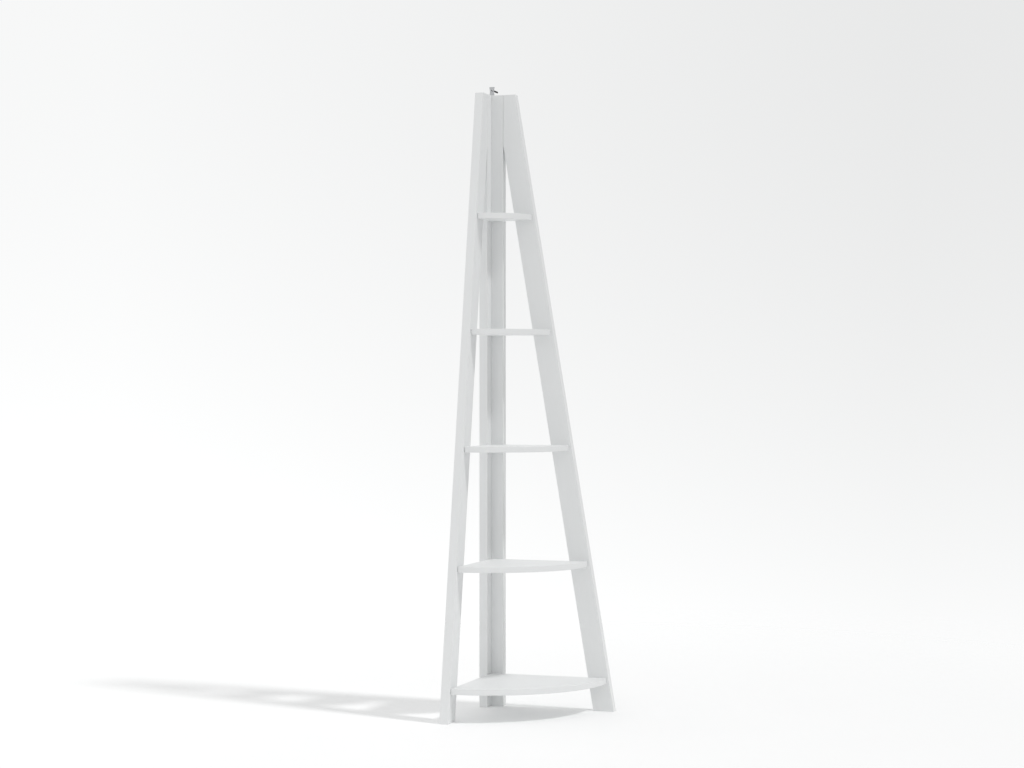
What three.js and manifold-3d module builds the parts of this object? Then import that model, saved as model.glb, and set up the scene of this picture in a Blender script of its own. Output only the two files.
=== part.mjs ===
// Corner ladder shelf: two ladder frames meet at a right angle in the corner of a room and carry
// five quarter-round shelves. Each frame is a post board, upright in the corner, and a leg that
// slopes forwards and is cut upright at the top to butt against the post. Every shelf sits inside
// the frames, held by screws from the wall side. A steel bracket on the post takes a wall screw.
//
// Millimetres, +Z up. The pieces are built about the walls' corner line: the left wall is the
// plane x = 0, the right wall is the plane y = 0, and the room lies towards +X and -Y. A reach is
// a distance along a wall from that line, and a depth is a distance from a wall into the room.
import * as THREE from "three";
import { mergeVertices } from "three/addons/utils/BufferGeometryUtils.js";
import Module from "manifold-3d";

const wasm = await Module();
wasm.setup();

// Frames.
const HEIGHT = 1800;
const BOARD_THICKNESS = 25.5;
const POST_WIDTH = 61.5;
const LEG_WIDTH = 61;
const FOOT_REACH = 400;
const TOP_REACH = 98.5;

// Shelves, counted from the floor up.
const SHELF_COUNT = 5;
const SHELF_THICKNESS = 16.5;
const LOWEST_SHELF_TOP = 96.5;
const SHELF_PITCH = 337;
const SHELF_SETBACK = 8;
const SHELF_CORNER_RADIUS = 3;

// Eased edges, and the gap that pieces keep where they touch.
const EDGE_ROUND = 1.2;
const EDGE_STEPS = 2;
const GAP = 0.3;

// Fixings. A screw's length is measured from the widest part of its head.
const WOOD_SCREW = { length: 40, radius: 2.1, headRadius: 4.2, headDepth: 2.6, tip: 6 };
const POST_SCREW = { ...WOOD_SCREW, length: 50 };
const BRACKET_SCREW = { length: 16, radius: 1.6, headRadius: 3.2, headDepth: 1.9, tip: 4 };
const WALL_SCREW = { length: 58, radius: 2.5, headRadius: 4.3, headDepth: 2.6, tip: 8 };
const HEAD_SINK = 0.5;
const POST_SCREW_INSET = 15;
const DOWEL = { length: 40, radius: 4, chamfer: 1 };
const DOWEL_HEIGHTS = [1695, 1765];

// Wall bracket, pressed from steel strip: a foot on the post's top and a waisted upright.
const BRACKET_THICKNESS = 1.5;
const BRACKET_REACH = 18.5;
const BRACKET_WIDTH = 16;
const BRACKET_WAIST = 13;
const BRACKET_RISE = 28;
const BRACKET_FOOT = 22;
const BRACKET_BEND_RADIUS = 1.5;
const BRACKET_CORNER_RADIUS = 1.5;
const BRACKET_SHOULDER = 3;
const WALL_HOLE_RISE = 18;
const FOOT_HOLE_DEPTH = 13;

// How many straight steps stand for a curve.
const SCREW_SIDES = 12;
const SHELF_ARC_STEPS = 24;
const SMALL_ARC_STEPS = 4;

const UP = new THREE.Vector3(0, 0, 1);
const DOWN = new THREE.Vector3(0, 0, -1);
const SIDES = {
  left: { along: new THREE.Vector3(0, -1, 0), inward: new THREE.Vector3(1, 0, 0) },
  right: { along: new THREE.Vector3(1, 0, 0), inward: new THREE.Vector3(0, -1, 0) },
};

const PAINTED_WOOD = new THREE.MeshStandardMaterial({ color: 0xeceded, roughness: 0.5, metalness: 0 });
const ZINC_STEEL = new THREE.MeshStandardMaterial({ color: 0xa9abad, roughness: 0.4, metalness: 1 });
const DARK_STEEL = new THREE.MeshStandardMaterial({ color: 0x4a4b4d, roughness: 0.45, metalness: 1 });
const BEECH = new THREE.MeshStandardMaterial({ color: 0xd9b98c, roughness: 0.7, metalness: 0 });

const legSlope = (FOOT_REACH - TOP_REACH) / HEIGHT;
const legWidthLevel = LEG_WIDTH * Math.hypot(1, legSlope);
const legFrontReach = (height) => FOOT_REACH - legSlope * height;
const shelfTop = (level) => LOWEST_SHELF_TOP + (level - 1) * SHELF_PITCH;
const shelfMiddle = (level) => shelfTop(level) - SHELF_THICKNESS / 2;

// Turns a closed geometry into a solid that can be joined and cut, and back.
function solidOf(geometry) {
  const bare = geometry.clone();
  bare.deleteAttribute("normal");
  bare.deleteAttribute("uv");
  const merged = mergeVertices(bare, 1e-4);
  const vertProperties = merged.attributes.position.array;
  const triVerts = new Uint32Array(merged.index.array);
  return new wasm.Manifold(new wasm.Mesh({ numProp: 3, vertProperties, triVerts }));
}

function geometryOf(solid) {
  const { vertProperties, triVerts } = solid.getMesh();
  const shared = new THREE.BufferGeometry();
  shared.setAttribute("position", new THREE.BufferAttribute(vertProperties, 3));
  shared.setIndex(new THREE.BufferAttribute(triVerts, 1));
  const faceted = shared.toNonIndexed();
  faceted.computeVertexNormals();
  return faceted;
}

function namedMesh(name, geometry, material, matrix) {
  const mesh = new THREE.Mesh(geometry, material);
  mesh.name = name;
  mesh.applyMatrix4(matrix);
  return mesh;
}

function arc(centreX, centreY, radius, from, to, steps) {
  const points = [];
  for (let i = 0; i <= steps; i += 1) {
    const angle = from + ((to - from) * i) / steps;
    points.push([centreX + radius * Math.cos(angle), centreY + radius * Math.sin(angle)]);
  }
  return points;
}

const shapeOf = (points) => new THREE.Shape(points.map(([x, y]) => new THREE.Vector2(x, y)));

// A plate from z = 0 up to its thickness, with all the edges of its two faces rounded over.
function easedPlate(points, thickness) {
  const plate = new THREE.ExtrudeGeometry(shapeOf(points), {
    depth: thickness - 2 * EDGE_ROUND,
    bevelSize: EDGE_ROUND,
    bevelOffset: -EDGE_ROUND,
    bevelThickness: EDGE_ROUND,
    bevelSegments: EDGE_STEPS,
  });
  return plate.translate(0, 0, EDGE_ROUND);
}

// A point of the room, from its place in one frame.
function placeOf(side, reach, depth, height) {
  const { along, inward } = SIDES[side];
  const point = along.clone().multiplyScalar(reach);
  return point.addScaledVector(inward, depth).addScaledVector(UP, height);
}

// Stands an outline of (reach, height) points up in a frame, from the wall to the board's depth.
// The plate grows along the cross product of along and up, which on the left points to the wall.
function standingBoard(name, side, points) {
  const { along, inward } = SIDES[side];
  const growth = new THREE.Vector3().crossVectors(along, UP);
  const startDepth = growth.dot(inward) > 0 ? 0 : BOARD_THICKNESS;
  const matrix = new THREE.Matrix4().makeBasis(along, UP, growth);
  matrix.setPosition(placeOf(side, 0, startDepth, 0));
  return namedMesh(name, easedPlate(points, BOARD_THICKNESS), PAINTED_WOOD, matrix);
}

function postBoard(side, innerReach) {
  return standingBoard(`${side}_post_board`, side, [
    [innerReach, 0],
    [POST_WIDTH, 0],
    [POST_WIDTH, HEIGHT],
    [innerReach, HEIGHT],
  ]);
}

// A leg's back edge meets the post at cutStart, and above that it is cut to the post's end face.
function leg(side) {
  const cutReach = POST_WIDTH + GAP;
  const cutStart = (FOOT_REACH - legWidthLevel - cutReach) / legSlope;
  return standingBoard(`${side}_leg`, side, [
    [FOOT_REACH - legWidthLevel, 0],
    [FOOT_REACH, 0],
    [TOP_REACH, HEIGHT],
    [cutReach, HEIGHT],
    [cutReach, cutStart],
  ]);
}

// A quarter disc about the post's inner corner, with its two front corners eased.
function shelf(level) {
  const radius = legFrontReach(shelfMiddle(level)) - BOARD_THICKNESS - SHELF_SETBACK;
  const ease = SHELF_CORNER_RADIUS;
  const easeAngle = Math.asin((GAP + ease) / (radius - ease));
  const easeReach = (radius - ease) * Math.cos(easeAngle);
  const quarter = Math.PI / 2;
  const points = [
    [GAP, -GAP],
    ...arc(GAP + ease, -easeReach, ease, -2 * quarter, -quarter + easeAngle, SMALL_ARC_STEPS),
    ...arc(0, 0, radius, -quarter + easeAngle, -easeAngle, SHELF_ARC_STEPS).slice(1, -1),
    ...arc(easeReach, -GAP - ease, ease, -easeAngle, quarter, SMALL_ARC_STEPS),
  ];
  const underside = shelfTop(level) - SHELF_THICKNESS;
  const matrix = new THREE.Matrix4().makeTranslation(BOARD_THICKNESS, -BOARD_THICKNESS, underside);
  return namedMesh(`shelf_${level}`, easedPlate(points, SHELF_THICKNESS), PAINTED_WOOD, matrix);
}

// Turned pieces stand on the Y axis: a screw's head is at the top and its tip points down.
function turned(profile) {
  return new THREE.LatheGeometry(
    profile.map(([radius, height]) => new THREE.Vector2(radius, height)),
    SCREW_SIDES,
  );
}

function countersunkScrew({ length, radius, headRadius, headDepth, tip }) {
  return turned([
    [0, -length],
    [radius, tip - length],
    [radius, -headDepth],
    [headRadius, -GAP],
    [headRadius, 0],
    [0, 0],
  ]);
}

function panHeadScrew({ length, radius, headRadius, headDepth, tip }) {
  return turned([
    [0, -length],
    [radius, tip - length],
    [radius, 0],
    [headRadius, 0],
    [headRadius, headDepth / 2],
    [headRadius * 0.75, headDepth],
    [0, headDepth],
  ]);
}

// The bores that the two kinds of screw need, a little larger and open past the head.
function countersunkBore({ length, radius, headRadius, headDepth, tip }) {
  return turned([
    [0, -length - GAP],
    [radius + GAP, tip - length],
    [radius + GAP, -headDepth],
    [headRadius + GAP, -GAP],
    [headRadius + GAP, headDepth],
    [0, headDepth],
  ]);
}

function plainBore({ length, radius, tip }) {
  return turned([
    [0, -length - GAP],
    [radius + GAP, tip - length],
    [radius + GAP, length],
    [0, length],
  ]);
}

// Turns a turned piece so that its downward end points the given way, and moves it into place.
function aimed(direction, place) {
  const turn = new THREE.Quaternion().setFromUnitVectors(new THREE.Vector3(0, -1, 0), direction);
  return new THREE.Matrix4().compose(place, turn, new THREE.Vector3(1, 1, 1));
}

const pieces = new Map();
const fit = (mesh) => pieces.set(mesh.name, mesh);

// Cuts a tool, given where its fixing is, out of the named pieces.
function drill(tool, matrix, names) {
  for (const name of names) {
    const mesh = pieces.get(name);
    mesh.updateMatrix();
    const local = mesh.matrix.clone().invert().multiply(matrix);
    const cutter = solidOf(tool.clone().applyMatrix4(local));
    mesh.geometry = geometryOf(solidOf(mesh.geometry).subtract(cutter));
  }
}

function fitWoodScrew(name, screw, side, reach, height, through) {
  const matrix = aimed(SIDES[side].inward, placeOf(side, reach, HEAD_SINK, height));
  drill(countersunkBore(screw), matrix, through);
  fit(namedMesh(name, countersunkScrew(screw), ZINC_STEEL, matrix));
}

function fitShelfScrews(level) {
  const height = shelfMiddle(level);
  const legReach = legFrontReach(height) - legWidthLevel / 2;
  const postReach = POST_WIDTH - POST_SCREW_INSET;
  for (const side of Object.keys(SIDES)) {
    const boards = { leg: [`${side}_leg`, legReach], post: [`${side}_post_board`, postReach] };
    for (const [part, [board, reach]] of Object.entries(boards)) {
      const name = `shelf_${level}_screw_${side}_${part}`;
      fitWoodScrew(name, WOOD_SCREW, side, reach, height, [board, `shelf_${level}`]);
    }
  }
}

// The post's two boards are screwed together half-way between each shelf and the next.
function fitPostScrew(level) {
  const height = shelfMiddle(level) + SHELF_PITCH / 2;
  const boards = ["right_post_board", "left_post_board"];
  fitWoodScrew(`post_screw_${level}`, POST_SCREW, "right", BOARD_THICKNESS / 2, height, boards);
}

// Dowels lie level across the butt joint between a leg and its post board.
function fitDowels(side) {
  const half = DOWEL.length / 2;
  const edge = DOWEL.radius - DOWEL.chamfer;
  const dowel = turned([
    [0, -half],
    [edge, -half],
    [DOWEL.radius, DOWEL.chamfer - half],
    [DOWEL.radius, half - DOWEL.chamfer],
    [edge, half],
    [0, half],
  ]);
  const bore = new THREE.CylinderGeometry(
    DOWEL.radius + GAP,
    DOWEL.radius + GAP,
    DOWEL.length + 2 * GAP,
    SCREW_SIDES,
  );
  DOWEL_HEIGHTS.forEach((height, i) => {
    const place = placeOf(side, POST_WIDTH + GAP / 2, BOARD_THICKNESS / 2, height);
    const matrix = aimed(SIDES[side].along, place);
    drill(bore, matrix, [`${side}_leg`, `${side}_post_board`]);
    fit(namedMesh(`${side}_leg_dowel_${i + 1}`, dowel, BEECH, matrix));
  });
}

// The bracket's side view, as (depth, rise) points, with its bend rounded inside and out.
function bracketProfile() {
  const inner = BRACKET_BEND_RADIUS;
  const outer = inner + BRACKET_THICKNESS;
  return [
    ...arc(outer, outer, outer, Math.PI, 1.5 * Math.PI, SMALL_ARC_STEPS),
    [BRACKET_FOOT, 0],
    [BRACKET_FOOT, BRACKET_THICKNESS],
    ...arc(outer, outer, inner, 1.5 * Math.PI, Math.PI, SMALL_ARC_STEPS),
    [BRACKET_THICKNESS, BRACKET_RISE],
    [0, BRACKET_RISE],
  ];
}

// The bracket's front view, as (reach, rise) points about its centre line: full width at the
// foot and the head, and a shallow arc on each side that narrows it to the waist between them.
function bracketFront() {
  const half = BRACKET_WIDTH / 2;
  const sagitta = (BRACKET_WIDTH - BRACKET_WAIST) / 2;
  const halfChord = BRACKET_RISE / 2 - BRACKET_SHOULDER;
  const radius = (halfChord * halfChord + sagitta * sagitta) / (2 * sagitta);
  const sweep = Math.asin(halfChord / radius);
  const centre = BRACKET_WAIST / 2 + radius;
  const middle = BRACKET_RISE / 2;
  const corner = BRACKET_CORNER_RADIUS;
  const cornerX = half - corner;
  const cornerY = BRACKET_RISE - corner;
  const waistSteps = 2 * SMALL_ARC_STEPS;
  return [
    [-half, -1],
    [half, -1],
    ...arc(centre, middle, radius, Math.PI + sweep, Math.PI - sweep, waistSteps),
    ...arc(cornerX, cornerY, corner, 0, Math.PI / 2, SMALL_ARC_STEPS),
    ...arc(-cornerX, cornerY, corner, Math.PI / 2, Math.PI, SMALL_ARC_STEPS),
    ...arc(-centre, middle, radius, sweep, -sweep, waistSteps),
  ];
}

function bracket() {
  const { along, inward } = SIDES.right;
  const plain = { depth: BRACKET_WIDTH, bevelEnabled: false };
  const strip = new THREE.ExtrudeGeometry(shapeOf(bracketProfile()), plain);
  const stripMatrix = new THREE.Matrix4().makeBasis(inward, UP, along.clone().negate());
  stripMatrix.setPosition(along.clone().multiplyScalar(BRACKET_WIDTH / 2));
  const deep = { depth: BRACKET_FOOT + 2, bevelEnabled: false };
  const front = new THREE.ExtrudeGeometry(shapeOf(bracketFront()), deep);
  const frontMatrix = new THREE.Matrix4().makeBasis(along, UP, inward);
  frontMatrix.setPosition(inward.clone().negate());
  const solid = solidOf(strip.applyMatrix4(stripMatrix)).intersect(
    solidOf(front.applyMatrix4(frontMatrix)),
  );
  const place = placeOf("right", BRACKET_REACH, 0, HEIGHT + GAP);
  const matrix = new THREE.Matrix4().setPosition(place);
  return namedMesh("wall_bracket", geometryOf(solid), ZINC_STEEL, matrix);
}

function fitBracket() {
  fit(bracket());
  const footTop = HEIGHT + GAP + BRACKET_THICKNESS + GAP;
  const footMatrix = aimed(DOWN, placeOf("right", BRACKET_REACH, FOOT_HOLE_DEPTH, footTop));
  drill(plainBore(BRACKET_SCREW), footMatrix, ["wall_bracket", "right_post_board"]);
  fit(namedMesh("bracket_screw", panHeadScrew(BRACKET_SCREW), ZINC_STEEL, footMatrix));

  const outward = SIDES.right.inward.clone().negate();
  const plateFront = BRACKET_THICKNESS + GAP;
  const holeHeight = HEIGHT + GAP + WALL_HOLE_RISE;
  const wallMatrix = aimed(outward, placeOf("right", BRACKET_REACH, plateFront, holeHeight));
  drill(plainBore(WALL_SCREW), wallMatrix, ["wall_bracket"]);
  fit(namedMesh("wall_screw", panHeadScrew(WALL_SCREW), DARK_STEEL, wallMatrix));
}

fit(postBoard("right", 0));
fit(postBoard("left", BOARD_THICKNESS + GAP));
for (const side of Object.keys(SIDES)) {
  fit(leg(side));
  fitDowels(side);
}
for (let level = 1; level <= SHELF_COUNT; level += 1) {
  fit(shelf(level));
  fitShelfScrews(level);
  fitPostScrew(level);
}
fitBracket();

// The whole stands on z = 0 with its box centred on the Z axis. The wall screw's tip is the
// farthest point behind the right wall's plane, and the feet are the farthest in front.
const behindWall = WALL_SCREW.length - BRACKET_THICKNESS - GAP;
const ladderShelf = new THREE.Group();
ladderShelf.name = "corner_ladder_shelf";
ladderShelf.position.set(-FOOT_REACH / 2, (FOOT_REACH - behindWall) / 2, 0);
ladderShelf.add(...pieces.values());

export default ladderShelf;
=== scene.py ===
"""A white corner ladder shelf, in metres: two ladder frames and five quarter-round shelves.

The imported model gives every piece's place and size. Each of its nodes is replaced by a finished
piece: rounded and bored boards, threaded screws, fluted dowels and a pressed wall bracket.
"""

import math
from dataclasses import dataclass

import bmesh
import bpy
from mathutils import Matrix, Vector


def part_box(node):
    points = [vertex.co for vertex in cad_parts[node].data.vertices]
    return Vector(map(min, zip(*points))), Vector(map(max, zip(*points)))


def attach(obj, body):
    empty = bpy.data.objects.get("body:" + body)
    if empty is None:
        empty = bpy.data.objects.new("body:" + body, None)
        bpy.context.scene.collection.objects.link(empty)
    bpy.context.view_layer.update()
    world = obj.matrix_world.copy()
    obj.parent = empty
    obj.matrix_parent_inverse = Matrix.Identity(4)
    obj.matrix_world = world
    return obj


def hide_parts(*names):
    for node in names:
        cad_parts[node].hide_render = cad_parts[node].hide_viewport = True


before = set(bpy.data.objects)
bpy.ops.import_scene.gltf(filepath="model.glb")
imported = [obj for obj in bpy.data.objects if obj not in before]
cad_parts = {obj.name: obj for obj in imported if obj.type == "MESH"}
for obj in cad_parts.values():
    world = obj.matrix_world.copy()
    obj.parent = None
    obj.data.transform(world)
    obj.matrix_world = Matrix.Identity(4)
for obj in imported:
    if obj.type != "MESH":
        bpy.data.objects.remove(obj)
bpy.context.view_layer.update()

# The leg's sizes that its box doesn't give: across its slope, and its front edge at the top.
LEG_WIDTH = 0.061
LEG_TOP_REACH = 0.0985

# Rounding of the boards' and shelves' edges, and of the shelves' two front corners.
BOARD_ROUND = 0.0012
BOARD_ROUND_STEPS = 4
SHELF_EASE = 0.003
SHELF_EASE_STEPS = 6
SHELF_ARC_STEPS = 72

# Faces that meet at a greater angle than this have a sharp edge between them.
SHARP_ANGLE = math.radians(32)
# Vertices closer than this are the same one.
MERGE_DISTANCE = 1e-6

# Bores: the clearance round a fixing, and how many sides they have.
CLEARANCE = 0.0003
BORE_SIDES = 40

# Dowels. Flutes are narrow grooves along them, with a few steps from one to the next.
DOWEL_CHAMFER = 0.001
DOWEL_FLUTES = 18
FLUTE_STEPS = 4
FLUTE_DEPTH = 0.0003

# Wall bracket, pressed from steel strip. Its upright narrows to a waist between two shoulders.
STRIP_THICKNESS = 0.0015
STRIP_BEND_RADIUS = 0.0015
STRIP_WAIST = 0.013
STRIP_SHOULDER = 0.003
STRIP_CORNER = 0.0015
STRIP_CURVE_STEPS = 8
STRIP_STRAIGHT_STEPS = 24
STRIP_ROUND = 0.00022
STRIP_ROUND_STEPS = 2


@dataclass(frozen=True)
class Screw:
    """What a screw's box doesn't say of its shape. Its thread covers a share of its length."""

    radius: float
    head_depth: float
    tip: float
    pitch: float
    thread_share: float
    pan_head: bool


WOOD_SCREW = Screw(
    radius=0.0021, head_depth=0.0026, tip=0.006, pitch=0.0022, thread_share=0.62, pan_head=False
)
BRACKET_SCREW = Screw(
    radius=0.0016, head_depth=0.0019, tip=0.004, pitch=0.0014, thread_share=1.0, pan_head=True
)
WALL_SCREW = Screw(
    radius=0.0025, head_depth=0.0026, tip=0.008, pitch=0.0024, thread_share=0.72, pan_head=True
)
SCREW_SIDES = 24
# Each screw is turned this much further than the one before.
SCREW_SPIN = math.radians(37)

# Parts of any screw, as shares of its own sizes.
CORE_RADIUS = 0.64  # of the screw's radius: the core under the thread
SHANK_RADIUS = 0.76  # of the screw's radius: the plain shank
POINT_LENGTH = 0.06  # of the tip: the plain point below the thread
NECK_LENGTH = 0.3  # of the pitch: from the thread to the shank
# One turn of thread, as (share of the pitch, share of the thread's height).
THREAD_PROFILE = ((0.0, 1.0), (0.2, 0.0), (0.8, 0.0))

# Parts of a countersunk head, then of a pan head, as shares of the head's own sizes.
RIM_BEVEL = 0.08  # of the depth: the width of the rim's bevel, and half of its height
SEAT_RADIUS = 0.97  # of the radius: the flat underside
SIDE_DEPTH = 0.62  # of the depth: the rounded side
CROWN_RADIUS = 0.55  # of the radius: the flat top
CROWN_STEPS = 6

# The driver's recess, a tapered cross.
RECESS_DEPTH = 0.75  # of the head's depth
RECESS_REACH = 0.56  # of the head's radius: an arm's length
RECESS_HALF_WIDTH = 0.13  # of the head's radius: half an arm's width
# The cutter's top and bottom, as shares of that reach and half width, and how far its top stands
# out of the head, as a share of the recess's depth.
RECESS_TOP = (1.05, 1.05)
RECESS_BOTTOM = (0.5, 0.8)
RECESS_OVERSHOOT = 0.1
# Where the worn part of a head ends, as shares of the head's depth: on its outside and in the
# recess. On the dark wall screw's head that part is a painted highlight.
HEAD_WEAR_AND_HIGHLIGHT_OUTSIDE = 0.99
HEAD_WEAR_AND_HIGHLIGHT_IN_RECESS = 0.1

# Colours, as red, green, blue and alpha. A pair is the two ends of a pattern.
PAINT_COLOURS = ((0.790, 0.800, 0.802, 1), (0.826, 0.834, 0.834, 1))
PAINT_RUBBED = (0.70, 0.685, 0.655, 1)
BEECH_COLOURS = ((0.50, 0.31, 0.17, 1), (0.68, 0.48, 0.30, 1))
BEECH_FLECK = (0.33, 0.18, 0.09, 1)
ZINC_COLOURS = ((0.47, 0.48, 0.49, 1), (0.64, 0.65, 0.66, 1))
# Painted shade: the wall screw is dark all over, standing in for the shade on its shank.
PAINTED_SHADE_STEEL_COLOURS = ((0.03, 0.03, 0.033, 1), (0.06, 0.06, 0.065, 1))
# Rubbed steel, which on the dark wall screw's head is a painted highlight.
STEEL_RUBBED_AND_HIGHLIGHT = (0.74, 0.75, 0.76, 1)
FLOOR_COLOURS = ((0.995, 0.995, 0.995, 1), (0.945, 0.945, 0.945, 1))
LIGHT_COLOUR = (0.995, 1.0, 1.0, 1)

# Roughness at the two ends of a pattern.
PAINT_ROUGHNESS = (0.44, 0.56)
BEECH_ROUGHNESS = (0.62, 0.8)
ZINC_ROUGHNESS = (0.28, 0.42)
PAINTED_SHADE_STEEL_ROUGHNESS = (0.38, 0.52)
# A noise rarely leaves this middle stretch, so patterns are ranged over it.
NOISE_MIDDLE = (0.3, 0.7)

# A range, here and further down, is (low, high, from, to): it takes from..to to low..high.
# How much of the paint's pattern is clouds, and how much is streaks along the grain.
PAINT_PATTERN = (0.6, 0.4)
# Where an edge is rubbed: how far its colour changes, how much its roughness changes, and the
# range of a noise that leaves the paint rubbed in patches.
PAINT_WEAR = 0.3
PAINT_WEAR_ROUGHNESS = -0.08
PAINT_WEAR_PATCHES = (0, 1, 0.45, 0.7)
# On steel, how far a rubbed edge or head goes over to its colour; on the dark wall screw's head
# this is a painted highlight.
STEEL_WEAR_AND_HIGHLIGHT = 0.85
# How far a fleck changes the wood's colour, as a range of a noise.
BEECH_FLECK_SHARE = (0, 0.5, 0.58, 0.75)

# Depths of the bumps in the materials.
PAINT_GRAIN_DEPTH = 0.00003
PAINT_PEEL_DEPTH = 0.000012
BEECH_GRAIN_DEPTH = 0.00005
SCRATCH_DEPTH = 0.000006

# How far apart in the noise two boards and two shelves are, so that no two look alike.
BOARD_SHIFT = 0.4
SHELF_SHIFT = 0.7
FIRST_SHELF_SHIFT = 2.3
# A shift goes this much along, across and through the grain.
SHIFT_DIRECTION = (1, 1.7, 0.6)

# Floor: its size, the distances between which it fades out, how its tone goes over to the second
# colour from the left to the right, a painted shade that darkens it towards the right, and how
# much clouds add to that.
FLOOR_RADIUS = 8
FLOOR_SIDES = 96
FLOOR_FADE = (0.8, 3.2)
FLOOR_PAINTED_SHADE = (0, 0.9, -0.4, 1.4)
FLOOR_CLOUDS = 0.2

# Light from all round, as ranges of a direction's rise, of how far it points to the camera's
# right, or of how far it points ahead. The room's strength is the sum of these three.
ROOM_BY_RISE = (0.638, 0.805, 0, 1)
ROOM_FROM_BELOW = (0.2, 0, -0.3, 0.1)
ROOM_BY_SIDE = (0.24, -0.24, -1, 1)
# The backdrop's strength goes by the square of how low down it is, and by its side.
BACKDROP_LOWNESS = (1, 0, -0.12, 0.18)
BACKDROP_BY_LOWNESS = (0.875, 1.04, 0, 1)
BACKDROP_BY_SIDE = (0.06, -0.06, -0.18, 0.18)
# The backdrop takes over from the room where a direction points ahead and isn't steep.
BACKDROP_AHEAD = (0, 1, 0.6, 0.8)
BACKDROP_NOT_STEEP = (1, 0, 0.2, 0.6)

# Sun. Its direction is where its light comes from.
SUN_AZIMUTH = math.radians(-5.5)
SUN_ELEVATION = math.radians(53)
SUN_STRENGTH = 1.0
SUN_ANGLE = math.radians(6)

# Camera, level, and placed from the object's own axis. The lens and sensor are in millimetres.
CAMERA_AZIMUTH = math.radians(18.53)
CAMERA_DISTANCE = 6.1904
CAMERA_SIDESTEP = -0.05844
CAMERA_HEIGHT = 0.9489
CAMERA_LENS = 76.1
CAMERA_SENSOR = 36

# White boards pass light on many times before a corner looks as bright as it should.
DIFFUSE_BOUNCES = 16
MAX_BOUNCES = 24

UP = Vector((0, 0, 1))
# The ways along and across the grain, for fixings and the bracket.
LENGTHWISE = UP
CROSSWISE = Vector((1, 0, 0))
SIDES = {
    "left": {"along": Vector((0, -1, 0)), "inward": Vector((1, 0, 0))},
    "right": {"along": Vector((1, 0, 0)), "inward": Vector((0, -1, 0))},
}
SHELVES = [name for name in sorted(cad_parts) if name.removeprefix("shelf_").isdigit()]


# ---------------------------------------------------------------- the two ladder frames


def corner_line():
    """Where the two walls' planes meet on the floor."""
    low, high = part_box("right_post_board")
    return Vector((low.x, high.y, 0))


def side_matrix(side):
    """Takes (reach, height, depth) in one ladder frame to the object's own coordinates."""
    along, inward = SIDES[side]["along"], SIDES[side]["inward"]
    axes = Matrix((along, UP, inward)).transposed().to_4x4()
    return Matrix.Translation(corner_line()) @ axes


def spans(side, node_name):
    """A node's lowest and highest reach, height and depth."""
    inverse = side_matrix(side).inverted()
    corners = [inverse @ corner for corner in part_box(node_name)]
    return [sorted(pair) for pair in zip(*corners)]


# ---------------------------------------------------------------- shader nodes


def node(tree, kind, inputs=None, **settings):
    """Adds a node. Inputs are linked if they are sockets and set if they are numbers."""
    made = tree.nodes.new(kind)
    for name, value in settings.items():
        setattr(made, name, value)
    for socket, value in (inputs or {}).items():
        if isinstance(value, bpy.types.NodeSocket):
            tree.links.new(value, made.inputs[socket])
        else:
            made.inputs[socket].default_value = value
    return made


def empty_tree(holder):
    """The node tree of a new material or world, with no nodes in it."""
    holder.use_nodes = True
    holder.node_tree.nodes.clear()
    return holder.node_tree


def principled(name, constants):
    """A new material's node tree and its shader, with the shader's constant values set."""
    material = bpy.data.materials.new(name)
    material.use_nodes = True
    tree = material.node_tree
    shader = tree.nodes["Principled BSDF"]
    for socket, value in constants.items():
        shader.inputs[socket].default_value = value
    return material, tree, shader


def attribute(tree, name, output):
    return node(tree, "ShaderNodeAttribute", attribute_name=name).outputs[output]


def noise(tree, point, scale, detail=2.0, roughness=0.5, stretch=None):
    """Noise from 0 to 1, with features of about 1 / scale metres. They are drawn out along an
    axis where its stretch is below 1."""
    if stretch:
        point = node(tree, "ShaderNodeMapping", {"Vector": point, "Scale": stretch}).outputs[0]
    inputs = {"Vector": point, "Scale": scale, "Detail": detail, "Roughness": roughness}
    return node(tree, "ShaderNodeTexNoise", inputs).outputs["Fac"]


def ranged(tree, value, low, high, start=0.0, end=1.0, **settings):
    """Maps start..end to low..high, and stops at both."""
    inputs = {"Value": value, "From Min": start, "From Max": end, "To Min": low, "To Max": high}
    return node(tree, "ShaderNodeMapRange", inputs, **settings).outputs[0]


def times(tree, first, second):
    return node(tree, "ShaderNodeMath", {0: first, 1: second}, operation="MULTIPLY").outputs[0]


def plus(tree, first, second):
    return node(tree, "ShaderNodeMath", {0: first, 1: second}, operation="ADD").outputs[0]


def vector_value(tree, operation, *vectors):
    """A number worked out from one or two vectors."""
    made = node(tree, "ShaderNodeVectorMath", dict(enumerate(vectors)), operation=operation)
    return made.outputs["Value"]


def blend_colours(tree, share, first, second):
    """From the first colour to the second. The colour sockets of a mix node are 6, 7 and 2."""
    inputs = {0: share, 6: first, 7: second}
    return node(tree, "ShaderNodeMix", inputs, data_type="RGBA").outputs[2]


def bump(tree, height, depth, below=None):
    """A bump as deep as the depth given, laid over another one if there is one below."""
    inputs = {"Height": height, "Distance": depth, "Strength": 1.0}
    if below:
        inputs["Normal"] = below
    return node(tree, "ShaderNodeBump", inputs).outputs[0]


# ---------------------------------------------------------------- materials


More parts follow.
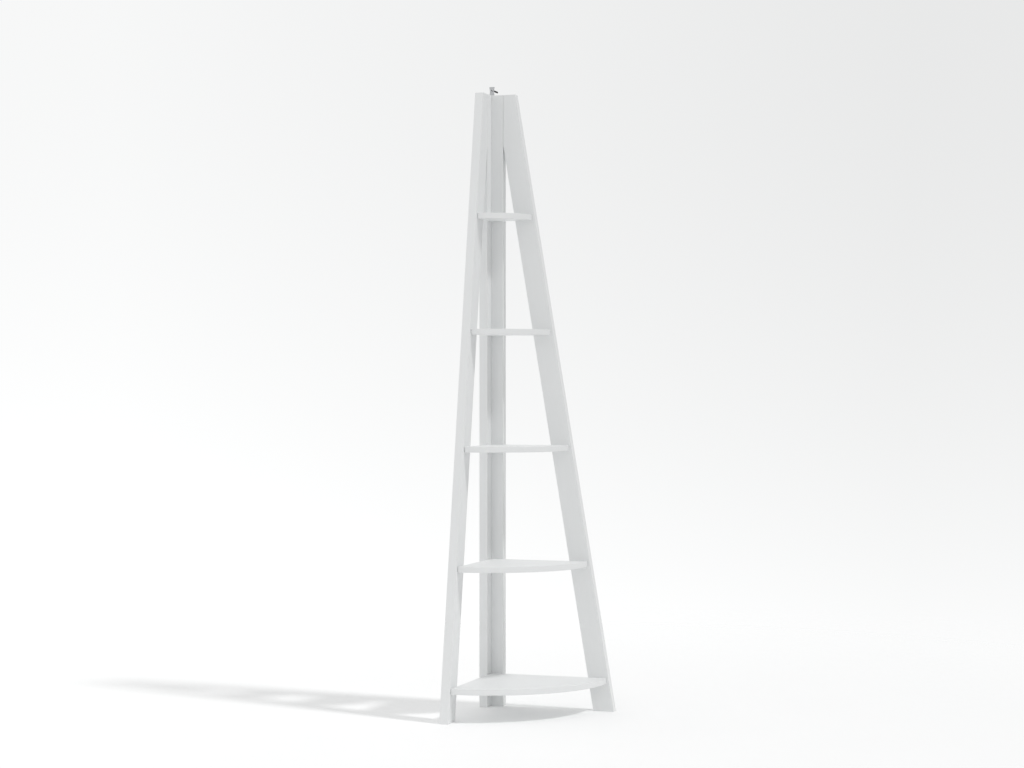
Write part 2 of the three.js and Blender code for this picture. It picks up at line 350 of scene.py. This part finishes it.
def white_paint():
    """Sprayed satin paint on wood: faint grain, a fine orange peel, and thinner on the edges."""
    material, tree, shader = principled("white_satin_paint", {"Specular IOR Level": 0.4})
    grain = attribute(tree, "grain", "Vector")
    edge = attribute(tree, "edge", "Fac")
    clouds = noise(tree, grain, scale=7, detail=3)
    streaks = noise(tree, grain, scale=260, detail=3, stretch=(0.035, 1, 1))
    peel = noise(tree, grain, scale=850, detail=1)
    wear = noise(tree, grain, scale=45, detail=4, roughness=0.7)

    cloud_share, streak_share = PAINT_PATTERN
    tone = plus(tree, times(tree, clouds, cloud_share), times(tree, streaks, streak_share))
    body = blend_colours(tree, tone, *PAINT_COLOURS)
    patches = ranged(tree, wear, *PAINT_WEAR_PATCHES)
    rubbed = times(tree, times(tree, edge, patches), PAINT_WEAR)
    colour = blend_colours(tree, rubbed, body, PAINT_RUBBED)
    tree.links.new(colour, shader.inputs["Base Color"])

    by_clouds = ranged(tree, clouds, *PAINT_ROUGHNESS, *NOISE_MIDDLE)
    roughness = plus(tree, by_clouds, times(tree, edge, PAINT_WEAR_ROUGHNESS))
    tree.links.new(roughness, shader.inputs["Roughness"])

    grain_bump = bump(tree, streaks, PAINT_GRAIN_DEPTH)
    tree.links.new(bump(tree, peel, PAINT_PEEL_DEPTH, grain_bump), shader.inputs["Normal"])
    return material


def bare_wood():
    """Beech, unpainted: straight close grain with short darker flecks."""
    material, tree, shader = principled("bare_beech", {"Specular IOR Level": 0.3})
    grain = attribute(tree, "grain", "Vector")
    rings = noise(tree, grain, scale=420, detail=3, stretch=(0.03, 1, 1))
    flecks = noise(tree, grain, scale=1500, detail=2, stretch=(0.12, 1, 1))
    body = blend_colours(tree, rings, *BEECH_COLOURS)
    colour = blend_colours(tree, ranged(tree, flecks, *BEECH_FLECK_SHARE), body, BEECH_FLECK)
    tree.links.new(colour, shader.inputs["Base Color"])
    tree.links.new(ranged(tree, rings, *BEECH_ROUGHNESS), shader.inputs["Roughness"])
    tree.links.new(bump(tree, rings, BEECH_GRAIN_DEPTH), shader.inputs["Normal"])
    return material


def steel(name, colours, roughness):
    """Plated steel, and steel painted dark as shade: mottled, with fine scratches, and brighter
    where it is rubbed. On the dark wall screw's head that brightness is a painted highlight.
    """
    material, tree, shader = principled(name, {"Metallic": 1.0})
    grain = attribute(tree, "grain", "Vector")
    edge = attribute(tree, "edge", "Fac")
    mottle = noise(tree, grain, scale=500, detail=3)
    scratches = noise(tree, grain, scale=2600, detail=2, stretch=(0.05, 1, 1))
    body = blend_colours(tree, mottle, *colours)
    colour = blend_colours(tree, times(tree, edge, STEEL_WEAR_AND_HIGHLIGHT), body, STEEL_RUBBED_AND_HIGHLIGHT)
    tree.links.new(colour, shader.inputs["Base Color"])
    tree.links.new(ranged(tree, mottle, *roughness, *NOISE_MIDDLE), shader.inputs["Roughness"])
    tree.links.new(bump(tree, scratches, SCRATCH_DEPTH), shader.inputs["Normal"])
    return material


# ---------------------------------------------------------------- mesh work


def arc(centre_x, centre_y, radius, start, end, steps):
    """Points (x, y) along an arc, with both of its ends."""
    angles = [start + (end - start) * i / steps for i in range(steps + 1)]
    return [(centre_x + radius * math.cos(a), centre_y + radius * math.sin(a)) for a in angles]


def skin(solid, lower, upper):
    """Closes the wall between two rings. A ring of one vertex is a point on the axis."""
    count = max(len(lower), len(upper))
    for i in range(count):
        j = (i + 1) % count
        corners = [lower[i % len(lower)], lower[j % len(lower)]]
        corners += [upper[j % len(upper)], upper[i % len(upper)]]
        solid.faces.new(list(dict.fromkeys(corners)))


def skin_all(solid, rings):
    for lower, upper in zip(rings, rings[1:]):
        skin(solid, lower, upper)


def plate(lower, upper):
    """A closed solid between two outlines of (x, y, z) points."""
    solid = bmesh.new()
    bottom = [solid.verts.new(point) for point in lower]
    top = [solid.verts.new(point) for point in upper]
    solid.faces.new(bottom)
    solid.faces.new(top)
    skin(solid, bottom, top)
    return solid


def prism(outline, low, high):
    """A closed plate with that outline of (x, y) points, between two heights."""
    return plate([(x, y, low) for x, y in outline], [(x, y, high) for x, y in outline])


def ring(solid, radius, z, sides, flute=0.0):
    """A ring about the Z axis, or a single vertex on it, with a groove every few steps."""
    if radius == 0:
        return [solid.verts.new((0, 0, z))]
    vertices = []
    for i in range(sides):
        reach = radius - (flute if i % FLUTE_STEPS == 0 else 0)
        angle = 2 * math.pi * i / sides
        vertices.append(solid.verts.new((reach * math.cos(angle), reach * math.sin(angle), z)))
    return vertices


def turn(solid, profile, sides):
    """Adds the surface turned about Z from a profile of (radius, z) points."""
    skin_all(solid, [ring(solid, radius, z, sides) for radius, z in profile])


def round_edges(solid, radius, steps):
    """Rounds every sharp edge, and marks the vertices inside the rounding as edge."""
    bmesh.ops.recalc_face_normals(solid, faces=solid.faces)
    sharp = [edge for edge in solid.edges if edge.calc_face_angle() > SHARP_ANGLE]
    made = bmesh.ops.bevel(
        solid,
        geom=sharp,
        offset=radius,
        offset_type="OFFSET",
        segments=steps,
        profile=0.5,  # an arc
        affect="EDGES",
        clamp_overlap=False,
    )
    layer = solid.verts.layers.float.get("edge") or solid.verts.layers.float.new("edge")
    rounding = set(made["faces"])
    for vertex in solid.verts:
        vertex[layer] = float(all(face in rounding for face in vertex.link_faces))


def object_from(solid, name, material):
    """Makes a bmesh into an object in the scene."""
    bmesh.ops.recalc_face_normals(solid, faces=solid.faces)
    mesh = bpy.data.meshes.new(name)
    solid.to_mesh(mesh)
    solid.free()
    mesh.materials.append(material)
    return add_to_scene(name, mesh)


def add_to_scene(name, data):
    """A new object that shows a mesh, a lamp or a camera."""
    made = bpy.data.objects.new(name, data)
    bpy.context.scene.collection.objects.link(made)
    return made


def carve(piece, cutter):
    """Cuts one object's solid out of another's. The cut faces take the cutter's material."""
    cut = piece.modifiers.new("cut", "BOOLEAN")
    cut.operation = "DIFFERENCE"
    cut.solver = "EXACT"
    cut.material_mode = "TRANSFER"
    cut.object = cutter
    graph = bpy.context.evaluated_depsgraph_get()
    carved = bpy.data.meshes.new_from_object(
        piece.evaluated_get(graph), preserve_all_data_layers=True, depsgraph=graph
    )
    piece.modifiers.clear()
    old = piece.data
    piece.data = carved
    bpy.data.meshes.remove(old)
    bpy.data.objects.remove(cutter)


def smooth(piece, flats_lead=False):
    """Shades smoothly between sharp edges. Where flats lead, the flat faces stay truly flat."""
    piece.data.shade_smooth()
    piece.data.set_sharp_from_angle(angle=SHARP_ANGLE)
    if flats_lead:
        weighted = piece.modifiers.new("flat_faces_lead", "WEIGHTED_NORMAL")
        weighted.keep_sharp = True


def add_grain(mesh, lengthwise=LENGTHWISE, crosswise=CROSSWISE, shift=0.0):
    """Writes each vertex's place along, across and through the grain, for the materials."""
    axes = Matrix((lengthwise, crosswise, lengthwise.cross(crosswise)))
    offset = Vector([part * shift for part in SHIFT_DIRECTION])
    grain = mesh.attributes.new("grain", "FLOAT_VECTOR", "POINT")
    for vertex, item in zip(mesh.vertices, grain.data):
        item.vector = axes @ vertex.co + offset


def stand_in(piece, node_name):
    """The finished piece rides with the frame in its node's stead."""
    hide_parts(node_name)
    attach(piece, "root")


# ---------------------------------------------------------------- fixings


@dataclass(frozen=True)
class Fixing:
    """A screw, or a dowel if it has no kind, with the way that its far end points and the pieces
    that it holds."""

    name: str
    kind: Screw | None
    direction: Vector
    holds: tuple


def fixings():
    """Every screw and dowel of the shelf."""
    found = []
    for shelf in SHELVES:
        for side, axes in SIDES.items():
            for part, board in (("leg", f"{side}_leg"), ("post", f"{side}_post_board")):
                name = f"{shelf}_screw_{side}_{part}"
                found.append(Fixing(name, WOOD_SCREW, axes["inward"], (board, shelf)))
    inward = SIDES["right"]["inward"]
    posts = ("right_post_board", "left_post_board")
    for level in range(1, len(SHELVES) + 1):
        found.append(Fixing(f"post_screw_{level}", WOOD_SCREW, inward, posts))
    for side, axes in SIDES.items():
        boards = (f"{side}_leg", f"{side}_post_board")
        for i in (1, 2):
            found.append(Fixing(f"{side}_leg_dowel_{i}", None, axes["along"], boards))
    bracket_holds = ("wall_bracket", "right_post_board")
    found.append(Fixing("bracket_screw", BRACKET_SCREW, -UP, bracket_holds))
    found.append(Fixing("wall_screw", WALL_SCREW, -inward, ("wall_bracket",)))
    return found


def turned_place(fixing, spin=0.0):
    """Where a fixing goes, from its node's box: the matrix that takes a piece from the Z axis,
    with its top at the origin, to its place, and then its length and its widest radius."""
    low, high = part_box(fixing.name)
    size = high - low
    length = abs(size.dot(fixing.direction))
    top = (low + high) / 2 - fixing.direction * length / 2
    aim = (-UP).rotation_difference(fixing.direction).to_matrix().to_4x4()
    matrix = Matrix.Translation(top) @ aim @ Matrix.Rotation(spin, 4, "Z")
    widest = max(size - fixing.direction * size.dot(fixing.direction)) / 2
    return matrix, length, widest


def dowel_bore(length, widest):
    """The profile of a dowel's bore."""
    wide = widest + CLEARANCE
    far = -length - CLEARANCE
    return [(0, CLEARANCE), (wide, CLEARANCE), (wide, far), (0, far)]


def screw_bore(kind, length, widest):
    """The profile of a screw's bore, which is open above the head."""
    thin = kind.radius + CLEARANCE
    profile = [(0, -length - CLEARANCE), (thin, kind.tip - length), (thin, -kind.head_depth)]
    wide = thin
    if not kind.pan_head:
        wide = widest + CLEARANCE
        profile.append((wide, -CLEARANCE))
    return [*profile, (wide, kind.head_depth), (0, kind.head_depth)]


def bore(solid, fixing):
    """Adds the space that a fixing needs in the pieces that it passes through."""
    matrix, length, widest = turned_place(fixing)
    if fixing.kind:
        profile = screw_bore(fixing.kind, length, widest)
    else:
        profile = dowel_bore(length, widest)
    before = len(solid.verts)
    turn(solid, profile, BORE_SIDES)
    solid.verts.ensure_lookup_table()
    bmesh.ops.transform(solid, matrix=matrix, verts=solid.verts[before:])


def drill(piece, node_name, wall_material):
    """Cuts the bores of every fixing that passes through this node."""
    passing = [fixing for fixing in fixings() if node_name in fixing.holds]
    if passing:
        bores = bmesh.new()
        for fixing in passing:
            bore(bores, fixing)
        carve(piece, object_from(bores, f"{node_name}_bores", wall_material))


def thread(solid, low, high, crest, pitch):
    """A right-handed thread between two heights, which fades into a plain ring at each end.
    Rows of vertices follow the helix, so the last vertex of a row meets the next turn's first."""
    turns = math.ceil((high - low) / pitch) + 1
    rows = []
    for step in range(-1, turns):
        for phase, share in THREAD_PROFILE:
            row = []
            for i in range(SCREW_SIDES):
                z = low + pitch * (step + phase + i / SCREW_SIDES)
                z = min(max(z, low), high)
                fade = min(1, (z - low) / pitch, (high - z) / pitch)
                reach = crest(z) * (CORE_RADIUS + (1 - CORE_RADIUS) * share * fade)
                angle = 2 * math.pi * i / SCREW_SIDES
                point = (reach * math.cos(angle), reach * math.sin(angle), z)
                row.append(solid.verts.new(point))
            rows.append(row)
    per_turn = len(THREAD_PROFILE)
    for r in range(len(rows) - 1):
        for i in range(SCREW_SIDES - 1):
            solid.faces.new((rows[r][i], rows[r][i + 1], rows[r + 1][i + 1], rows[r + 1][i]))
        if r + 1 + per_turn < len(rows):
            next_low, next_high = rows[r + per_turn][0], rows[r + 1 + per_turn][0]
            solid.faces.new((rows[r][-1], next_low, next_high, rows[r + 1][-1]))


def head_profile(kind, shank, widest):
    """From the shank to the head's flat top, which is at z = 0."""
    seat = -kind.head_depth
    if not kind.pan_head:
        rim = RIM_BEVEL * kind.head_depth
        return [(shank, seat), (widest, -2 * rim), (widest - rim, 0)]
    profile = [(shank, seat), (SEAT_RADIUS * widest, seat)]
    side, crown = SIDE_DEPTH * kind.head_depth, CROWN_RADIUS * widest
    for x, z in arc(0, 0, 1, 0, math.pi / 2, CROWN_STEPS):
        profile.append((crown + (widest - crown) * x, (z - 1) * side))
    return profile


def cross_outline(arm, half, z):
    """A cross of four equal arms, with the given reach and half width. It is turned by half of
    one side of the screw, so that none of its corners lies over an edge of the head's top."""
    quadrant = [(arm, -half, z), (arm, half, z), (half, half, z)]
    turns = [Matrix.Rotation(math.pi / SCREW_SIDES + k * math.pi / 2, 3, "Z") for k in range(4)]
    return [turn_by @ Vector(point) for turn_by in turns for point in quadrant]


def cross_recess(widest, depth):
    """The cutter for a driver's recess in a head whose top is at z = 0."""
    arm, half = RECESS_REACH * widest, RECESS_HALF_WIDTH * widest
    bottom = cross_outline(RECESS_BOTTOM[0] * arm, RECESS_BOTTOM[1] * half, -depth)
    top = cross_outline(RECESS_TOP[0] * arm, RECESS_TOP[1] * half, RECESS_OVERSHOOT * depth)
    return plate(bottom, top)


def mark_head(mesh, head_depth, widest):
    """Marks a screw's head as edge, because tools rub it, but not the inside of its recess. On the
    dark wall screw the mark carries a painted highlight.
    """
    layer = mesh.attributes.new("edge", "FLOAT", "POINT")
    for vertex, item in zip(mesh.vertices, layer.data):
        on_head = vertex.co.z > -HEAD_WEAR_AND_HIGHLIGHT_OUTSIDE * head_depth
        off_axis = math.hypot(vertex.co.x, vertex.co.y)
        below_top = vertex.co.z < -HEAD_WEAR_AND_HIGHLIGHT_IN_RECESS * head_depth
        in_recess = below_top and off_axis < RECESS_REACH * widest
        item.value = float(on_head and not in_recess)


def screw_mesh(name, kind, length, widest, material):
    """A screw with its head's top at the origin and its tip pointing down."""

    def crest(z):
        """The thread's outer radius, which narrows to the tip."""
        return kind.radius * min(1, (z + length) / kind.tip)

    solid = bmesh.new()
    shank = SHANK_RADIUS * kind.radius
    start = -length + POINT_LENGTH * kind.tip
    end = min(-kind.head_depth - kind.pitch, (kind.thread_share - 1) * length)
    thread(solid, start, end, crest, kind.pitch)
    turn(solid, [(0, -length), (CORE_RADIUS * crest(start), start)], SCREW_SIDES)
    neck = [(CORE_RADIUS * kind.radius, end), (shank, end + NECK_LENGTH * kind.pitch)]
    turn(solid, [*neck, *head_profile(kind, shank, widest), (0, 0)], SCREW_SIDES)
    bmesh.ops.remove_doubles(solid, verts=solid.verts, dist=MERGE_DISTANCE)
    piece = object_from(solid, name, material)
    recess = cross_recess(widest, RECESS_DEPTH * kind.head_depth)
    carve(piece, object_from(recess, f"{name}_recess", material))
    mark_head(piece.data, kind.head_depth, widest)
    return piece


def make_dowel(fixing, material):
    """A fluted dowel with chamfered ends."""
    matrix, length, widest = turned_place(fixing)
    solid = bmesh.new()
    tip = widest - DOWEL_CHAMFER
    shape = [
        (0, 0, 0),
        (tip, 0, 0),
        (widest, -DOWEL_CHAMFER, FLUTE_DEPTH),
        (widest, DOWEL_CHAMFER - length, FLUTE_DEPTH),
        (tip, -length, 0),
        (0, -length, 0),
    ]
    sides = DOWEL_FLUTES * FLUTE_STEPS
    skin_all(solid, [ring(solid, radius, z, sides, flute) for radius, z, flute in shape])
    piece = object_from(solid, f"{fixing.name}_finished", material)
    add_grain(piece.data)
    smooth(piece)
    piece.matrix_world = matrix
    stand_in(piece, fixing.name)


def make_screws(metals):
    """Screws of one kind and length share a mesh, and each is turned a little differently."""
    shapes = {}
    for index, fixing in enumerate(fixing for fixing in fixings() if fixing.kind):
        kind = fixing.kind
        matrix, length, widest = turned_place(fixing, index * SCREW_SPIN)
        # The wall screw's steel is painted dark: it stands for the shade its shank shows behind
        # the bracket.
        slot = "dark_steel" if kind is WALL_SCREW else "zinc_steel"
        key = (kind, round(length, 5))  # lengths are alike if they agree to 0.01 mm
        name = f"{fixing.name}_finished"
        if key in shapes:
            piece = add_to_scene(name, shapes[key])
        else:
            piece = screw_mesh(name, kind, length, widest, metals[slot])
            add_grain(piece.data)
            smooth(piece)
            shapes[key] = piece.data
        piece.matrix_world = matrix
        stand_in(piece, fixing.name)


# ---------------------------------------------------------------- boards and shelves


def post_outline(side, node_name):
    """A plain upright board's outline, and the way that its grain runs."""
    (near, far), (low, high), _ = spans(side, node_name)
    return [(near, low), (far, low), (far, high), (near, high)], UP


def leg_outline(side, node_name):
    """A leg's outline and the way that its grain runs. Its edges slope in parallel, and it is
    cut level at the foot and upright where it meets the post."""
    (cut, foot), (low, high), _ = spans(side, node_name)
    slope = (foot - LEG_TOP_REACH) / (high - low)
    heel = foot - LEG_WIDTH * math.hypot(1, slope)
    cut_start = (heel - cut) / slope
    outline = [(heel, low), (foot, low), (LEG_TOP_REACH, high), (cut, high), (cut, cut_start)]
    return outline, (UP - slope * SIDES[side]["along"]).normalized()


def finish_painted(solid, node_name, lengthwise, crosswise, shift, paint, wood):
    """Rounds a wooden piece, bores it, and puts it in its node's stead."""
    round_edges(solid, BOARD_ROUND, BOARD_ROUND_STEPS)
    piece = object_from(solid, f"{node_name}_finished", paint)
    drill(piece, node_name, wood)
    add_grain(piece.data, lengthwise, crosswise, shift)
    smooth(piece, flats_lead=True)
    stand_in(piece, node_name)


def make_board(side, node_name, outline_of, shift, paint, wood):
    """A board of one ladder frame."""
    outline, lengthwise = outline_of(side, node_name)
    depths = spans(side, node_name)[2]
    solid = prism(outline, *depths)
    bmesh.ops.transform(solid, matrix=side_matrix(side), verts=solid.verts)
    crosswise = SIDES[side]["inward"]
    finish_painted(solid, node_name, lengthwise, crosswise, shift, paint, wood)


def shelf_outline(low, high, inner):
    """A quarter disc about the posts' inner corner, with its two front corners eased."""
    ease = SHELF_EASE
    gap = low.x - inner.x
    reach = high.x - inner.x - ease
    radius = ease + math.hypot(reach, gap + ease)
    turned = math.asin((gap + ease) / (radius - ease))
    quarter = math.pi / 2
    front = arc(0, 0, radius, turned - quarter, -turned, SHELF_ARC_STEPS)[1:-1]
    return [
        (gap, -gap),
        *arc(gap + ease, -reach, ease, -2 * quarter, turned - quarter, SHELF_EASE_STEPS),
        *front,
        *arc(reach, -gap - ease, ease, -turned, quarter, SHELF_EASE_STEPS),
    ]


def make_shelf(node_name, shift, paint, wood):
    """A shelf, placed from the inner corner that the two post boards make."""
    low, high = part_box(node_name)
    thickness = spans("right", "right_post_board")[2][1]
    inner = corner_line() + Vector((thickness, -thickness, 0))
    solid = prism(shelf_outline(low, high, inner), low.z, high.z)
    bmesh.ops.transform(solid, matrix=Matrix.Translation(inner), verts=solid.verts)
    lengthwise, crosswise = Vector((1, 0, 0)), Vector((0, 1, 0))
    finish_painted(solid, node_name, lengthwise, crosswise, shift, paint, wood)


# ---------------------------------------------------------------- wall bracket


def corner_cut(distance):
    """How much a rounded corner takes off the strip's half width, near its end."""
    if distance >= STRIP_CORNER:
        return 0.0
    return STRIP_CORNER - math.sqrt(STRIP_CORNER**2 - (STRIP_CORNER - distance) ** 2)


def waist_cut(height, rise, half):
    """How much the waist's arc takes off the upright's half width."""
    sagitta = half - STRIP_WAIST / 2
    half_chord = rise / 2 - STRIP_SHOULDER
    radius = (half_chord**2 + sagitta**2) / (2 * sagitta)
    from_middle = height - rise / 2
    if abs(from_middle) >= half_chord:
        return 0.0
    return math.sqrt(radius**2 - from_middle**2) - (radius - sagitta)


def strip_stations(foot, rise):
    """Along the strip from the foot's end to the upright's top: its outer and inner (depth,
    height) points, and its distance from an end, which only has to be right near that end."""
    outer = STRIP_BEND_RADIUS + STRIP_THICKNESS
    steps = STRIP_CURVE_STEPS
    ends = [STRIP_CORNER * (1 - math.cos(math.pi / 2 * i / steps)) for i in range(steps + 1)]
    stations = [((foot - d, 0), (foot - d, STRIP_THICKNESS), d) for d in ends]
    bend_outer = arc(outer, outer, outer, 1.5 * math.pi, math.pi, steps)
    bend_inner = arc(outer, outer, STRIP_BEND_RADIUS, 1.5 * math.pi, math.pi, steps)
    stations += [(*pair, rise) for pair in zip(bend_outer, bend_inner)]
    straight = rise - outer - STRIP_CORNER
    shares = [k / STRIP_STRAIGHT_STEPS for k in range(1, STRIP_STRAIGHT_STEPS)]
    heights = [outer + straight * share for share in shares]
    stations += [((0, z), (STRIP_THICKNESS, z), rise - z) for z in heights]
    stations += [((0, rise - d), (STRIP_THICKNESS, rise - d), d) for d in reversed(ends)]
    return stations


def bent_strip(foot, rise, half):
    """The strip, with the upright's back at depth 0 and the foot's underside at height 0."""
    solid = bmesh.new()
    rings = []
    for outer, inner, from_end in strip_stations(foot, rise):
        reach = half - corner_cut(from_end) - waist_cut(outer[1], rise, half)
        section = [(-reach, outer), (reach, outer), (reach, inner), (-reach, inner)]
        rings.append([solid.verts.new((x, z, depth)) for x, (depth, z) in section])
    skin_all(solid, rings)
    solid.faces.new(rings[0])
    solid.faces.new(rings[-1])
    return solid


def make_bracket(material):
    """The wall bracket, bored and then rounded, so that its holes' rims are rounded too."""
    (left, right), (low, high), (wall, foot) = spans("right", "wall_bracket")
    solid = bent_strip(foot - wall, high - low, (right - left) / 2)
    centre = Matrix.Translation(((left + right) / 2, low, wall))
    bmesh.ops.transform(solid, matrix=side_matrix("right") @ centre, verts=solid.verts)
    piece = object_from(solid, "wall_bracket_finished", material)
    drill(piece, "wall_bracket", material)
    eased = bmesh.new()
    eased.from_mesh(piece.data)
    round_edges(eased, STRIP_ROUND, STRIP_ROUND_STEPS)
    eased.to_mesh(piece.data)
    eased.free()
    add_grain(piece.data)
    smooth(piece, flats_lead=True)
    stand_in(piece, "wall_bracket")


# ---------------------------------------------------------------- floor, light and camera


def camera_axes():
    """Which ways are forward and to the right for the camera."""
    cosine, sine = math.cos(CAMERA_AZIMUTH), math.sin(CAMERA_AZIMUTH)
    return Vector((-sine, cosine, 0)), Vector((cosine, sine, 0))


def make_floor():
    """A pale floor that fades out with distance, so that it has no horizon."""
    material = bpy.data.materials.new("pale_floor")
    tree = empty_tree(material)
    position = node(tree, "ShaderNodeNewGeometry").outputs["Position"]
    to_the_right = vector_value(tree, "DOT_PRODUCT", position, camera_axes()[1])
    clouds = times(tree, noise(tree, position, scale=3), FLOOR_CLOUDS)
    # Painted shade: the floor's colour darkens towards the camera's right, standing in for less
    # light there.
    tone = plus(tree, ranged(tree, to_the_right, *FLOOR_PAINTED_SHADE), clouds)
    colour = blend_colours(tree, tone, *FLOOR_COLOURS)
    matt = node(tree, "ShaderNodeBsdfDiffuse", {"Color": colour}).outputs[0]
    clear = node(tree, "ShaderNodeBsdfTransparent").outputs[0]
    reach = vector_value(tree, "LENGTH", position)
    fade = ranged(tree, reach, 0, 1, *FLOOR_FADE, interpolation_type="SMOOTHSTEP")
    mix = node(tree, "ShaderNodeMixShader", {0: fade, 1: matt, 2: clear}).outputs[0]
    node(tree, "ShaderNodeOutputMaterial", {"Surface": mix})

    solid = bmesh.new()
    turn(solid, [(0, 0), (FLOOR_RADIUS, 0)], FLOOR_SIDES)
    object_from(solid, "floor", material)


def make_world():
    """A studio: soft light from above and the left, and behind the object a pale backdrop that
    is lightest low down."""
    world = bpy.data.worlds.new("studio")
    tree = empty_tree(world)
    direction = node(tree, "ShaderNodeTexCoord").outputs["Generated"]
    forward, across = camera_axes()
    rise = vector_value(tree, "DOT_PRODUCT", direction, UP)
    sideways = vector_value(tree, "DOT_PRODUCT", direction, across)
    ahead = vector_value(tree, "DOT_PRODUCT", direction, forward)

    by_rise = plus(tree, ranged(tree, rise, *ROOM_BY_RISE), ranged(tree, rise, *ROOM_FROM_BELOW))
    room = plus(tree, by_rise, ranged(tree, sideways, *ROOM_BY_SIDE))

    lowness = ranged(tree, rise, *BACKDROP_LOWNESS)
    by_lowness = ranged(tree, times(tree, lowness, lowness), *BACKDROP_BY_LOWNESS)
    backdrop = plus(tree, by_lowness, ranged(tree, sideways, *BACKDROP_BY_SIDE))

    points_ahead = ranged(tree, ahead, *BACKDROP_AHEAD)
    backdrop_share = times(tree, points_ahead, ranged(tree, rise, *BACKDROP_NOT_STEEP))
    strength = ranged(tree, backdrop_share, room, backdrop)
    light = {"Color": LIGHT_COLOUR, "Strength": strength}
    background = node(tree, "ShaderNodeBackground", light).outputs[0]
    node(tree, "ShaderNodeOutputWorld", {"Surface": background})
    bpy.context.scene.world = world


def make_sun():
    sun = bpy.data.lights.new("sun", "SUN")
    sun.energy = SUN_STRENGTH
    sun.angle = SUN_ANGLE
    level = math.cos(SUN_ELEVATION)
    x, y = level * math.cos(SUN_AZIMUTH), level * math.sin(SUN_AZIMUTH)
    towards = Vector((x, y, math.sin(SUN_ELEVATION)))
    lamp = add_to_scene("sun", sun)
    lamp.rotation_euler = towards.to_track_quat("Z", "Y").to_euler()


def make_camera():
    camera = bpy.data.cameras.new("camera")
    camera.sensor_width = CAMERA_SENSOR
    camera.lens = CAMERA_LENS
    forward, across = camera_axes()
    eye = add_to_scene("camera", camera)
    eye.location = CAMERA_SIDESTEP * across - CAMERA_DISTANCE * forward + CAMERA_HEIGHT * UP
    eye.rotation_euler = forward.to_track_quat("-Z", "Y").to_euler()
    bpy.context.scene.camera = eye


def set_view():
    scene = bpy.context.scene
    scene.view_settings.view_transform = "Standard"
    scene.cycles.diffuse_bounces = DIFFUSE_BOUNCES
    scene.cycles.max_bounces = MAX_BOUNCES


# ---------------------------------------------------------------- the scene


def make_shelf_unit():
    """Every piece of the object, in its node's stead."""
    paint = white_paint()
    wood = bare_wood()
    metals = {
        "zinc_steel": steel("zinc_plate", ZINC_COLOURS, ZINC_ROUGHNESS),
        "dark_steel": steel("steel_painted_with_shade", PAINTED_SHADE_STEEL_COLOURS, PAINTED_SHADE_STEEL_ROUGHNESS),
    }
    outlines = {"post_board": post_outline, "leg": leg_outline}
    boards = [(side, part) for side in SIDES for part in outlines]
    for index, (side, part) in enumerate(boards):
        shift = index * BOARD_SHIFT
        make_board(side, f"{side}_{part}", outlines[part], shift, paint, wood)
    for index, shelf in enumerate(SHELVES):
        make_shelf(shelf, FIRST_SHELF_SHIFT + index * SHELF_SHIFT, paint, wood)
    make_screws(metals)
    for fixing in fixings():
        if fixing.kind is None:
            make_dowel(fixing, wood)
    make_bracket(metals["zinc_steel"])


make_shelf_unit()
make_floor()
make_world()
make_sun()
make_camera()
set_view()
